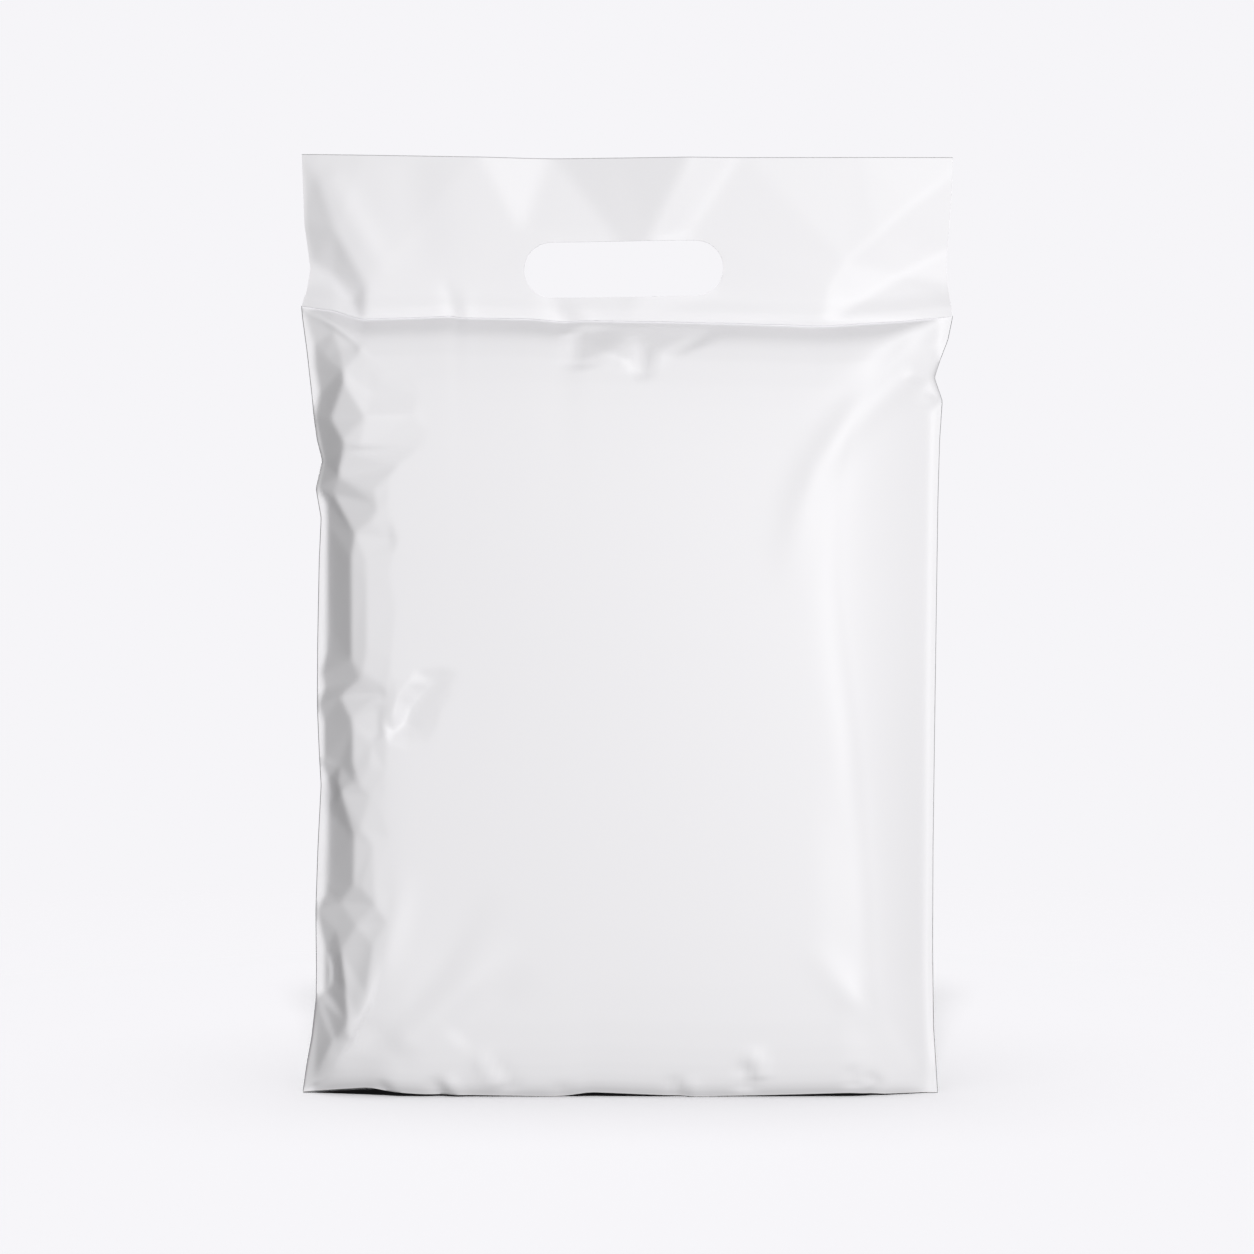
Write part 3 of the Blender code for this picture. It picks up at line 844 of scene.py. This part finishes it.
def new_node(tree, kind, **values):
    """A node with some of its inputs set."""
    node = tree.nodes.new(kind)
    for name, value in values.items():
        node.inputs[name].default_value = value
    return node


# %% World: the backdrop to the camera, and a weak even light to everything else
FILL_LIGHT = 0.12


def make_world():
    world = bpy.data.worlds.new("studio")
    bpy.context.scene.world = world
    world.use_nodes = True
    tree = world.node_tree
    lit = tree.nodes["Background"]
    lit.inputs["Color"].default_value = (1, 1, 1, 1)
    lit.inputs["Strength"].default_value = FILL_LIGHT
    seen = new_node(tree, "ShaderNodeBackground", Color=(*BACKDROP, 1))
    ray = new_node(tree, "ShaderNodeLightPath")
    mix = new_node(tree, "ShaderNodeMixShader")
    tree.links.new(ray.outputs["Is Camera Ray"], mix.inputs[0])
    tree.links.new(lit.outputs[0], mix.inputs[1])
    tree.links.new(seen.outputs[0], mix.inputs[2])
    tree.links.new(mix.outputs[0], tree.nodes["World Output"].inputs["Surface"])


make_world()

# %% Lamps
BAG_MIDDLE = Vector((0, 0, 0.224))


def towards(azimuth, elevation):
    """The direction of a place seen from the bag: azimuth from the front to the right, in degrees."""
    a, e = math.radians(azimuth), math.radians(elevation)
    return Vector((math.sin(a) * math.cos(e), -math.cos(a) * math.cos(e), math.sin(e)))


def new_lamp(name, kind, azimuth, elevation, distance, power):
    """A lamp that looks at the bag's middle, and lights only the pieces linked to it afterwards."""
    lamp = bpy.data.lights.new(name, kind)
    lamp.energy = power
    made = bpy.data.objects.new(name, lamp)
    bpy.context.scene.collection.objects.link(made)
    direction = towards(azimuth, elevation)
    made.location = BAG_MIDDLE + direction * distance
    made.rotation_euler = direction.to_track_quat("Z", "Y").to_euler()
    return made


def light_only(lamp, piece):
    """Keeps the lamp's light on this piece."""
    lit = bpy.data.collections.new(lamp.name + "_lights")
    lit.objects.link(piece)
    lamp.light_linking.receiver_collection = lit


key = new_lamp("key", "AREA", 23, 6, 3.0, 92)
key.data.size = 1.8
side = new_lamp("side", "AREA", -65, 0, 3.0, 15)
side.data.size = 1.8
back = new_lamp("back", "AREA", 205, 14, 3.0, 60)
back.data.size = 1.8
for lamp in (key, side, back):
    light_only(lamp, bag)

# %% Floor
FLOOR_COLOUR = 0.06
FLOOR_FADE = (0.5, 0.9)
FLOOR_LAMPS = [("floor_front", 0, 50, 10, 0.55), ("floor_sky", 0, 84, 50, 0.45)]


def make_floor():
    """A dark floor under strong lamps of its own: it shows shadows, and gives the bag no light."""
    mesh = bpy.data.meshes.new("floor")
    work = bmesh.new()
    bmesh.ops.create_grid(work, x_segments=1, y_segments=1, size=FLOOR_FADE[1])
    work.to_mesh(mesh)
    work.free()
    floor = bpy.data.objects.new("floor", mesh)
    bpy.context.scene.collection.objects.link(floor)
    material = bpy.data.materials.new("pale_floor")
    material.use_nodes = True
    tree = material.node_tree
    tree.nodes.remove(tree.nodes["Principled BSDF"])
    lit = new_node(tree, "ShaderNodeBsdfDiffuse", Color=(*(FLOOR_COLOUR * c for c in BACKDROP), 1))
    clear = new_node(tree, "ShaderNodeBsdfTransparent")
    place = new_node(tree, "ShaderNodeTexCoord")
    reach = new_node(tree, "ShaderNodeVectorMath")
    reach.operation = "LENGTH"
    fade = new_node(tree, "ShaderNodeMapRange", **{"From Min": FLOOR_FADE[1], "From Max": FLOOR_FADE[0]})
    ray = new_node(tree, "ShaderNodeLightPath")
    shown = new_node(tree, "ShaderNodeMath")
    shown.operation = "MULTIPLY"
    mix = new_node(tree, "ShaderNodeMixShader")
    tree.links.new(place.outputs["Object"], reach.inputs[0])
    tree.links.new(reach.outputs["Value"], fade.inputs["Value"])
    tree.links.new(fade.outputs["Result"], shown.inputs[0])
    tree.links.new(ray.outputs["Is Camera Ray"], shown.inputs[1])
    tree.links.new(shown.outputs[0], mix.inputs[0])
    tree.links.new(clear.outputs[0], mix.inputs[1])
    tree.links.new(lit.outputs[0], mix.inputs[2])
    tree.links.new(mix.outputs[0], tree.nodes["Material Output"].inputs["Surface"])
    mesh.materials.append(material)
    return floor


floor = make_floor()
for name, azimuth, elevation, angle, share in FLOOR_LAMPS:
    rise = math.sin(math.radians(elevation))
    sun = new_lamp(name, "SUN", azimuth, elevation, 2.5, math.pi * share / FLOOR_COLOUR / rise)
    sun.data.angle = math.radians(angle)
    light_only(sun, floor)

# %% Camera
CAMERA_DISTANCE = 2.0
CAMERA_RISE = math.radians(3.0)
FRAME_WIDTH = 0.6007


def make_camera():
    data = bpy.data.cameras.new("camera")
    camera = bpy.data.objects.new("camera", data)
    bpy.context.scene.collection.objects.link(camera)
    aim = Vector((0, 0, 0.2247))
    direction = Vector((0, -math.cos(CAMERA_RISE), math.sin(CAMERA_RISE)))
    camera.location = aim + direction * CAMERA_DISTANCE
    camera.rotation_euler = direction.to_track_quat("Z", "Y").to_euler()
    data.sensor_width = 36.0
    data.lens = 36.0 * CAMERA_DISTANCE / FRAME_WIDTH
    bpy.context.scene.camera = camera


make_camera()
bpy.context.scene.view_settings.view_transform = "Standard"
